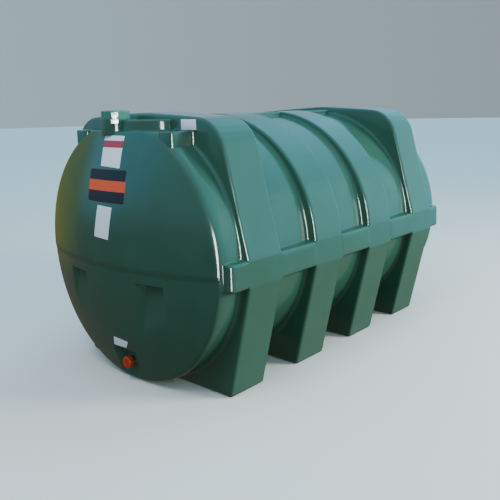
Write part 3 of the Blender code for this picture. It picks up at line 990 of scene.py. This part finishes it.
    def label(self, name, corners, radius, lift=0.0011):
        """Builds a sheet stuck on the outlet end.

        Rings of the sheet's rounded outline shrink to its middle. All follow the end's surface, raised
        by the sheet's thickness, except the outermost, which lies on the surface and closes the edge.

        Args:
            name: The new object's name.
            corners: The (y, z) of the four corners in order.
            radius: Radius of the corners.
            lift: Thickness.

        Returns:
            The new object.
        """
        outline = self._loop(np.asarray(corners, float), radius)
        middle = outline.mean(axis=0)
        rows = []
        for share, rise in ((1.0, 0.0), (1.0, lift), (0.985, lift), (0.75, lift), (0.5, lift), (0.25, lift),
                            (0.0, lift)):
            flat = middle + share * (outline - middle)
            x = -(self.skin.surface_x(flat[:, 0], flat[:, 1], End.FRONT) + rise)
            rows.append(np.column_stack((x, flat)))
        builder = MeshBuilder()
        builder.add(np.array(rows), closed=True)
        return builder.finish(name, outwards_from=(0.0, 0.0, self.skin.frame.axis_z))

    @staticmethod
    def _loop(corners, radius, spacing=0.008):
        """Returns a closed outline with rounded corners, sampled evenly."""
        rows = [(*corner, radius) for corner in corners]
        start = 0.5 * (corners[0] + corners[-1])
        path = rounded_path([(*start, 0.0), *rows, (*start, 0.0)])
        along = np.concatenate(([0.0], np.cumsum(np.linalg.norm(np.diff(path, axis=0), axis=1))))
        fine = thin(np.concatenate((along, np.arange(0.0, along[-1], spacing))), 1.0e-4)[:-1]
        return np.column_stack([np.interp(fine, along, path[:, axis]) for axis in (0, 1)])

    def rib_sheet(self):
        """Builds the small sheet on the first rib's front wall."""
        low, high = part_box("rib_label")
        builder = MeshBuilder()
        rounded_block(builder, tuple(low), tuple(high), 0.0004, Placing(), steps=3)
        return builder.finish("rib_sheet")


def linear(code):
    """Turns an sRGB hex code into a linear RGBA colour."""
    values = [int(code[place:place + 2], 16) / 255.0 for place in (1, 3, 5)]
    return (*[value / 12.92 if value <= 0.04045 else ((value + 0.055) / 1.055) ** 2.4 for value in values], 1.0)


@dataclass(frozen=True)
class PlasticFinish:
    """A moulded plastic: its colours, its gloss and the waviness of its surface."""

    name: str
    colour: str
    mottle: str
    roughness: float
    level: float
    wave_size: float
    wave_depth: float
    peel_size: float
    peel_depth: float


@dataclass(frozen=True)
class MetalFinish:
    """A plated metal."""

    name: str
    colour: str
    roughness: float
    grain_size: float
    grain_depth: float


@dataclass(frozen=True)
class FilmBand:
    """A plain printed band across a film, between two heights."""

    low: float
    high: float
    colour: str


@dataclass(frozen=True)
class FilmFinish:
    """A printed film: its ground colour and its plain bands."""

    name: str
    colour: str
    roughness: float
    bands: tuple = ()


# Glossy green polyethylene, rotationally moulded against a blasted steel mould
BODY_FINISH = PlasticFinish(name="rotomoulded_green_polyethylene", colour="#375f4c", mottle="#2f5543",
                            roughness=0.16, level=0.42, wave_size=0.150, wave_depth=0.0011,
                            peel_size=0.006, peel_depth=0.000035)
# The same polyethylene, injection moulded for the screw caps
CAP_FINISH = PlasticFinish(name="injection_moulded_green_cap", colour="#4c8873", mottle="#457f6b",
                           roughness=0.30, level=0.40, wave_size=0.040, wave_depth=0.00005,
                           peel_size=0.002, peel_depth=0.00001)
# Red polypropylene, injection moulded
RED_FINISH = PlasticFinish(name="injection_moulded_red_cap", colour="#c2401f", mottle="#b43a1b",
                           roughness=0.28, level=0.40, wave_size=0.030, wave_depth=0.00003,
                           peel_size=0.002, peel_depth=0.00001)
# Zinc plated steel
STEEL_FINISH = MetalFinish(name="zinc_plated_steel", colour="#aeb1b5", roughness=0.42, grain_size=0.0015,
                           grain_depth=0.00002)
# White vinyl film with plain printed bands
TOP_FILM = FilmFinish(name="printed_film_with_red_band", colour="#fbf9f9", roughness=0.35,
                      bands=(FilmBand(1.086, 1.116, "#b5303c"),))
PLAIN_FILM = FilmFinish(name="plain_white_film", colour="#f7f8f7", roughness=0.35)
# Dark vinyl film with a plain orange band
BADGE_FILM = FilmFinish(name="printed_dark_film", colour="#120d0b", roughness=0.45,
                        bands=(FilmBand(0.900, 0.946, "#f2560f"),))


class Shader:
    """A material being made, with one call that adds any node."""

    def __init__(self, name):
        """Makes an empty material.

        Args:
            name: The material's name.
        """
        self.material = bpy.data.materials.new(name)
        self.material.use_nodes = True
        self.tree = self.material.node_tree
        self.tree.nodes.clear()

    def add(self, kind, inputs=None, **settings):
        """Adds a node.

        Args:
            kind: The node's type.
            inputs: Value or source socket for each input, by name or number.
            **settings: Properties of the node.

        Returns:
            The new node.
        """
        return add_node(self.tree, kind, inputs, **settings)

    def close(self, shader):
        """Joins the surface shader to the output and returns the material."""
        self.add("ShaderNodeOutputMaterial", {"Surface": shader.outputs["BSDF"]})
        return self.material


def add_node(tree, kind, inputs=None, **settings):
    """Adds a node to a tree, sets its properties and fills its inputs with values or links."""
    node = tree.nodes.new(kind)
    for name, value in settings.items():
        setattr(node, name, value)
    for key, value in (inputs or {}).items():
        if isinstance(value, bpy.types.NodeSocket):
            tree.links.new(value, node.inputs[key])
        else:
            node.inputs[key].default_value = value
    return node


def plastic(finish):
    """Makes a moulded plastic: slow colour drift, slow waviness and a fine orange peel, in object coordinates."""
    shader = Shader(finish.name)
    place = shader.add("ShaderNodeTexCoord").outputs["Object"]
    drift = shader.add("ShaderNodeTexNoise", {"Vector": place, "Scale": 1.0 / finish.wave_size, "Detail": 3.0})
    colour = shader.add("ShaderNodeMix", {"Factor": drift.outputs["Fac"]}, data_type="RGBA")
    for socket, value in zip([item for item in colour.inputs if item.type == "RGBA"],
                             (linear(finish.colour), linear(finish.mottle))):
        socket.default_value = value
    wave = shader.add("ShaderNodeTexNoise", {"Vector": place, "Scale": 1.0 / finish.wave_size, "Detail": 0.0})
    peel = shader.add("ShaderNodeTexNoise", {"Vector": place, "Scale": 1.0 / finish.peel_size, "Detail": 1.0})
    slow = shader.add("ShaderNodeBump", {"Height": wave.outputs["Fac"], "Distance": finish.wave_depth,
                                         "Strength": 1.0})
    fine = shader.add("ShaderNodeBump", {"Height": peel.outputs["Fac"], "Distance": finish.peel_depth,
                                         "Strength": 1.0, "Normal": slow.outputs["Normal"]})
    surface = shader.add("ShaderNodeBsdfPrincipled", {
        "Base Color": next(item for item in colour.outputs if item.type == "RGBA"),
        "Roughness": finish.roughness, "Specular IOR Level": finish.level, "Normal": fine.outputs["Normal"]})
    return shader.close(surface)


def metal(finish):
    """Makes a plated metal with a fine grain."""
    shader = Shader(finish.name)
    place = shader.add("ShaderNodeTexCoord").outputs["Object"]
    grain = shader.add("ShaderNodeTexNoise", {"Vector": place, "Scale": 1.0 / finish.grain_size, "Detail": 2.0})
    bump = shader.add("ShaderNodeBump", {"Height": grain.outputs["Fac"], "Distance": finish.grain_depth})
    surface = shader.add("ShaderNodeBsdfPrincipled", {
        "Base Color": linear(finish.colour), "Metallic": 1.0, "Roughness": finish.roughness,
        "Normal": bump.outputs["Normal"]})
    return shader.close(surface)


def film(finish):
    """Makes a printed film. Each plain band is the product of two comparisons of the height, in object coordinates."""
    shader = Shader(finish.name)
    place = shader.add("ShaderNodeTexCoord").outputs["Object"]
    height = shader.add("ShaderNodeSeparateXYZ", {"Vector": place}).outputs["Z"]
    colour = linear(finish.colour)
    for band in finish.bands:
        above = shader.add("ShaderNodeMath", {0: height, 1: band.low}, operation="GREATER_THAN")
        below = shader.add("ShaderNodeMath", {0: height, 1: band.high}, operation="LESS_THAN")
        inside = shader.add("ShaderNodeMath", {0: above.outputs[0], 1: below.outputs[0]}, operation="MULTIPLY")
        mix = shader.add("ShaderNodeMix", {"Factor": inside.outputs[0]}, data_type="RGBA")
        ground, ink = [item for item in mix.inputs if item.type == "RGBA"]
        if isinstance(colour, bpy.types.NodeSocket):
            shader.tree.links.new(colour, ground)
        else:
            ground.default_value = colour
        ink.default_value = linear(band.colour)
        colour = next(item for item in mix.outputs if item.type == "RGBA")
    surface = shader.add("ShaderNodeBsdfPrincipled", {"Base Color": colour, "Roughness": finish.roughness,
                                                      "Specular IOR Level": 0.4})
    return shader.close(surface)


@dataclass(frozen=True)
class SkyPatch:
    """A soft patch of the surroundings: where it is, how its edge runs in cosines, and its linear colour."""

    toward: tuple
    fades: float
    full: float
    colour: tuple


class Studio:
    """The floor, the camera and the lights."""

    GROUND = (0.165, 0.120, 0.090)
    SKY = (
        SkyPatch((0.30, -0.85, -0.50), 0.50, 0.90, (0.48, 0.52, 0.44)),
        SkyPatch((0.00, 0.00, 1.00), -0.10, 0.12, (0.42, 0.62, 0.80)),
        SkyPatch((0.00, -0.25, 1.00), 0.30, 0.95, (0.55, 0.92, 1.30)),
        SkyPatch((0.90, -0.25, 0.45), 0.60, 0.95, (0.55, 1.60, 2.50)),
        SkyPatch((-0.45, 0.70, 0.45), 0.80, 0.97, (0.40, 1.00, 1.80)),
        SkyPatch((0.00, 1.00, 0.12), 0.90, 0.97, (0.34, 0.30, 0.03)),
        SkyPatch((0.45, -0.80, 0.50), 0.70, 0.95, (0.45, 1.25, 2.00)),
        SkyPatch((0.75, -0.62, 0.16), 0.92, 0.985, (0.75, 1.80, 2.40)),
    )
    EYE = Vector((-2.6544, -2.4164, 1.2691))
    YAW = math.radians(38.815)
    PITCH = math.radians(-8.745)
    ROLL = math.radians(-1.177)
    AIM = Vector((0.0, 0.0, 0.6))

    def camera(self):
        """Makes the camera from the pose fitted to the photograph."""
        ahead = Vector((math.cos(self.PITCH) * math.cos(self.YAW), math.cos(self.PITCH) * math.sin(self.YAW),
                        math.sin(self.PITCH)))
        right = ahead.cross(Vector((0.0, 0.0, 1.0))).normalized()
        up = right.cross(ahead)
        turned_right = math.cos(self.ROLL) * right + math.sin(self.ROLL) * up
        turned_up = math.cos(self.ROLL) * up - math.sin(self.ROLL) * right
        data = bpy.data.cameras.new("camera")
        data.lens, data.sensor_width = 46.686, 36.0
        data.shift_x, data.shift_y = -0.1000, -0.0977
        item = bpy.data.objects.new("camera", data)
        bpy.context.scene.collection.objects.link(item)
        item.matrix_world = Matrix.Translation(self.EYE) @ Matrix(
            (turned_right, turned_up, -ahead)).transposed().to_4x4()
        bpy.context.scene.camera = item

    def floor(self):
        """Makes the plain pale floor, a flat disc far larger than the tank, and a plain wall round its edge."""
        shader = Shader("pale_floor")
        surface = shader.add("ShaderNodeBsdfPrincipled", {"Base Color": linear("#f6ead9"), "Roughness": 0.9,
                                                          "Specular IOR Level": 0.1})
        paint = shader.close(surface)
        for name, profile in (("floor", ((0.0, 0.0), (4.0, 0.0), (40.0, 0.0))), ("backdrop", ((39.9, -0.1), (39.9, 16.0)))):
            builder = MeshBuilder()
            builder.add(turned_grid(np.array(profile)), closed=True)
            item = builder.finish(name)
            item.data.materials.append(paint)
            item.visible_glossy = item.visible_diffuse = False
            item.visible_shadow = name == "floor"

    def world(self):
        """Makes the surroundings: dark ground with soft patches of sky laid over it in fixed directions.

        A patch covers those before it by a smooth step of the cosine between a direction and its own.
        """
        world = bpy.data.worlds.new("studio")
        world.use_nodes = True
        tree = world.node_tree
        tree.nodes.clear()
        place = add_node(tree, "ShaderNodeTexCoord").outputs["Generated"]
        total = add_node(tree, "ShaderNodeCombineXYZ", dict(enumerate(self.GROUND))).outputs[0]
        for patch in self.SKY:
            toward = Vector(patch.toward).normalized()
            cosine = add_node(tree, "ShaderNodeVectorMath", {0: place, 1: toward}, operation="DOT_PRODUCT")
            share = add_node(tree, "ShaderNodeMapRange", {"Value": cosine.outputs["Value"], "From Min": patch.fades,
                                                          "From Max": patch.full}, interpolation_type="SMOOTHSTEP")
            cover = add_node(tree, "ShaderNodeMix", {0: share.outputs[0], 4: total, 5: patch.colour},
                             data_type="VECTOR")
            total = cover.outputs[1]
        back = add_node(tree, "ShaderNodeBackground", {"Color": total, "Strength": 1.0})
        add_node(tree, "ShaderNodeOutputWorld", {"Surface": back.outputs["Background"]})
        bpy.context.scene.world = world

    def light(self, name, place, size, power, colour=(1.0, 1.0, 1.0), glint=False):
        """Makes a soft rectangular light that looks at the tank.

        Args:
            name: Its name.
            place: Where it stands.
            size: Its two sides.
            power: Its power in watts.
            colour: Its linear colour.
            glint: Whether it only shows as a reflection; otherwise it only gives its light.
        """
        data = bpy.data.lights.new(name, "AREA")
        data.shape = "RECTANGLE"
        data.size, data.size_y = size
        data.energy, data.color = power, colour
        item = bpy.data.objects.new(name, data)
        bpy.context.scene.collection.objects.link(item)
        place = Vector(place)
        item.location = place
        item.rotation_mode = "QUATERNION"
        item.rotation_quaternion = (self.AIM - place).to_track_quat("-Z", "Y")
        item.visible_diffuse, item.visible_glossy, item.visible_camera = not glint, glint, False

    def build(self):
        """Makes the whole studio."""
        self.floor()
        self.world()
        self.light("key", (2.4, -5.0, 2.3), (1.6, 1.6), 340.0, (1.0, 0.98, 0.94))
        self.light("fill", (-3.2, -0.8, 4.8), (2.0, 2.0), 84.0, (1.0, 0.96, 0.92))
        self.light("edge_strip", (-3.9, -4.4, 0.3), (1.30, 3.2), 1000.0, (0.92, 1.0, 0.97), glint=True)
        self.camera()


def fit(item, material, slot, *nodes):
    """Gives a piece its material, fixes it to the body, and hides the CAD nodes that it stands for."""
    item.data.materials.append(material)
    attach(item, BODY)
    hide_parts(*nodes)


def dress_skin(skin, green):
    """Builds the moulding's skin and puts it in place of its CAD nodes.

    Args:
        skin: The skin builder.
        green: The moulding's material.
    """
    shell = ("barrel_upper", "barrel_lower", "band_near", "band_far")
    for index in range(len(skin.frame.rib_x) - 1):
        ribs = [f"{kind}_{number}" for number in (index + 1, index + 2) for kind in ("rib", "leg_near", "leg_far")]
        fit(skin.bay(index), green, GREEN_SLOT, *shell, *ribs, f"crown_strip_{index + 1}")
    fit(skin.build(End.FRONT), green, GREEN_SLOT, "front_dish_upper", "front_dish_lower")
    fit(skin.build(End.REAR), green, GREEN_SLOT, "rear_dish_upper", "rear_dish_lower")


LABELS = {
    "top_label": ((0.069, 1.138), (-0.070, 1.137), (-0.076, 1.000), (0.059, 1.006)),
    "badge_plate": ((0.134, 0.991), (-0.124, 0.993), (-0.129, 0.852), (0.130, 0.852)),
    "lower_label": ((0.051, 0.836), (-0.051, 0.832), (-0.030, 0.690), (0.072, 0.696)),
    "outlet_label": ((0.047, 0.220), (-0.054, 0.215), (-0.029, 0.179), (0.065, 0.175)),
}


def dress_details(skin, green):
    """Builds the small pieces and puts them in place of their CAD nodes.

    Args:
        skin: The skin builder.
        green: The moulding's material.
    """
    parts = SmallParts(skin)
    fit(parts.plinth(), green, GREEN_SLOT, "filler_plinth")
    fit(parts.lug("lug_near", "front_lug_near"), green, GREEN_SLOT, "lug_near")
    fit(parts.lug("lug_far", "front_lug_far"), green, GREEN_SLOT, "lug_far")
    fit(parts.neck(), green, GREEN_SLOT, "filler_neck")
    fit(parts.cap(), plastic(CAP_FINISH), GREEN_SLOT, "fill_cap")
    steel = metal(STEEL_FINISH)
    fit(parts.hasp(), steel, STEEL_SLOT, "cap_hasp")
    fit(parts.shackle(), steel, STEEL_SLOT, "padlock_shackle")
    fit(parts.lock_body(), steel, STEEL_SLOT, "padlock_body")
    stub, stopper = parts.outlet()
    fit(stub, green, GREEN_SLOT, "outlet_boss")
    fit(stopper, plastic(RED_FINISH), "outlet_cap", "outlet_cap")
    white = film(PLAIN_FILM)
    for node, corners in LABELS.items():
        badge = node == "badge_plate"
        material = film(BADGE_FILM) if badge else film(TOP_FILM) if node == "top_label" else white
        piece = parts.label(node.replace("label", "sheet").replace("plate", "sheet"), corners, 0.012 if badge else 0.003)
        fit(piece, material, "badge_plate" if badge else WHITE_SLOT, node)
    fit(parts.rib_sheet(), white, WHITE_SLOT, "rib_label")


def main():
    """Builds the looks around the frame."""
    logging.basicConfig(level=logging.INFO, format="%(name)s: %(message)s")
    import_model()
    frame = TankFrame.read()
    log.info("%s", frame)
    sizes = MouldSizes()
    skin = EndSkin(frame, sizes)
    green = plastic(BODY_FINISH)
    dress_skin(skin, green)
    dress_details(skin, green)
    Studio().build()


if __name__ == "__main__":
    main()
